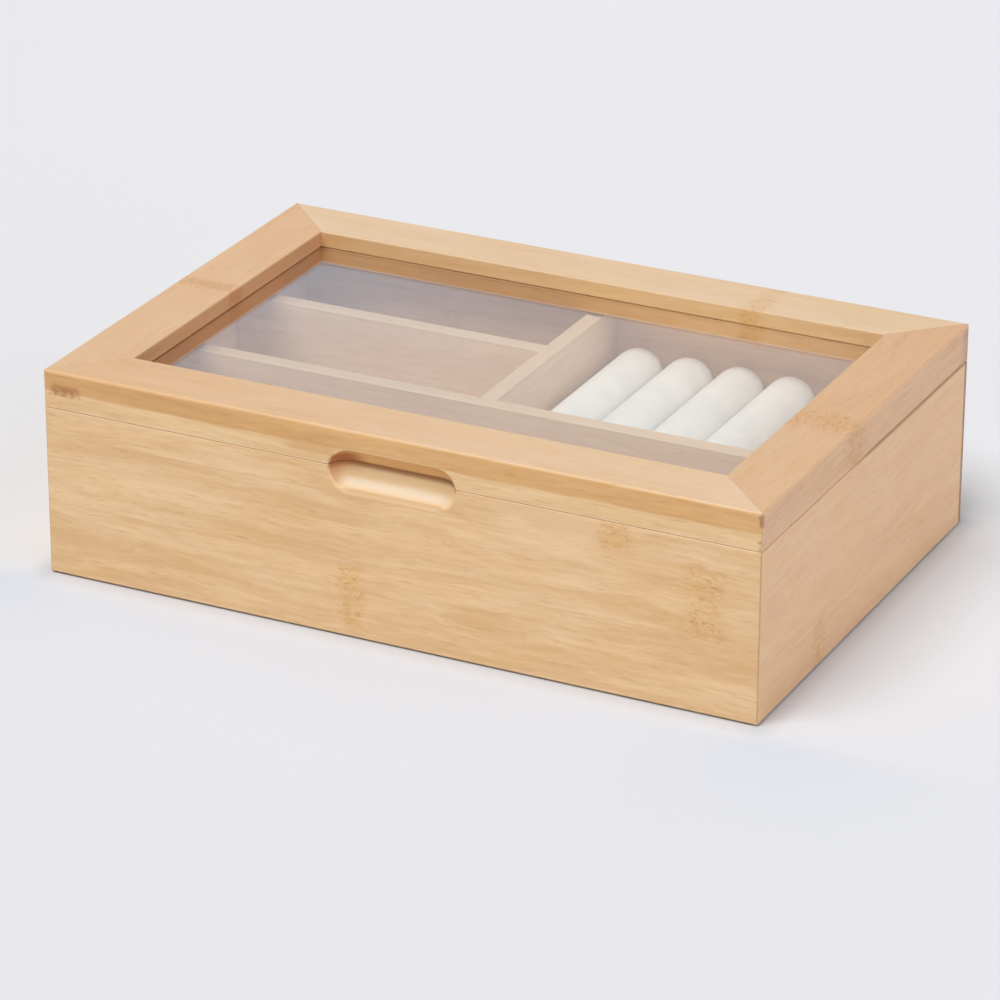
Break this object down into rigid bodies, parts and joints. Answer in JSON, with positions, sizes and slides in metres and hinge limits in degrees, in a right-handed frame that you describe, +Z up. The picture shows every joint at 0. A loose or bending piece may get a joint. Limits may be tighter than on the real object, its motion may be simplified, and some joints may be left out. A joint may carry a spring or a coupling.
{
  "type": "storage box",
  "caption": "Low rectangular bamboo keepsake box with a hinged glass-paned lid, a finger scoop at the front, divided bays and a velvet ring cushion.",
  "frame": {"origin": "middle of the underside, on the surface that the box stands on", "axes": "+X to the right, +Y to the back, +Z up, seen from the front with the finger scoop"},
  "size_m": [0.254, 0.172, 0.0724],
  "materials": {
    "bamboo": "satin clear lacquer",
    "bamboo_panel": "plain sanded",
    "bamboo_divider": "satin clear lacquer",
    "lining_velvet": "short velvet pile",
    "cushion_velvet": "short velvet pile",
    "foot_felt": "pressed felt",
    "hinge_steel": "brushed",
    "screw_steel": "bright",
    "pane_glass": "clear polished"
  },
  "bodies": {
    "box_body": {"front_wall": "bamboo", "back_wall": "bamboo", "left_wall": "bamboo", "right_wall": "bamboo", "bottom_panel": "bamboo_panel", "front_divider": "bamboo_divider", "rear_divider": "bamboo_divider", "cross_divider": "bamboo_divider", "front_lining": "lining_velvet", "middle_lining": "lining_velvet", "rear_lining": "lining_velvet", "ring_cushion_base": "cushion_velvet", "ring_roll_1": "cushion_velvet", "ring_roll_2": "cushion_velvet", "ring_roll_3": "cushion_velvet", "ring_roll_4": "cushion_velvet", "ring_roll_5": "cushion_velvet", "ring_roll_6": "cushion_velvet", "corner_feet": "foot_felt", "hinge_body_leaf_left": "hinge_steel", "hinge_body_leaf_right": "hinge_steel", "hinge_pin_left": "hinge_steel", "hinge_pin_right": "hinge_steel", "hinge_body_screws": "screw_steel"},
    "lid": {"lid_front_rail": "bamboo", "lid_back_rail": "bamboo", "lid_left_rail": "bamboo", "lid_right_rail": "bamboo", "lid_pane": "pane_glass", "hinge_lid_leaf_left": "hinge_steel", "hinge_lid_leaf_right": "hinge_steel", "hinge_lid_screws": "screw_steel"}
  },
  "joints": [
    {"name": "lid_hinge", "type": "hinge", "parent": "box_body", "child": "lid", "pos_m": [0, 0.08475, 0.0593], "axis": [-1, 0, 0], "range_deg": [0, 100]}
  ]
}
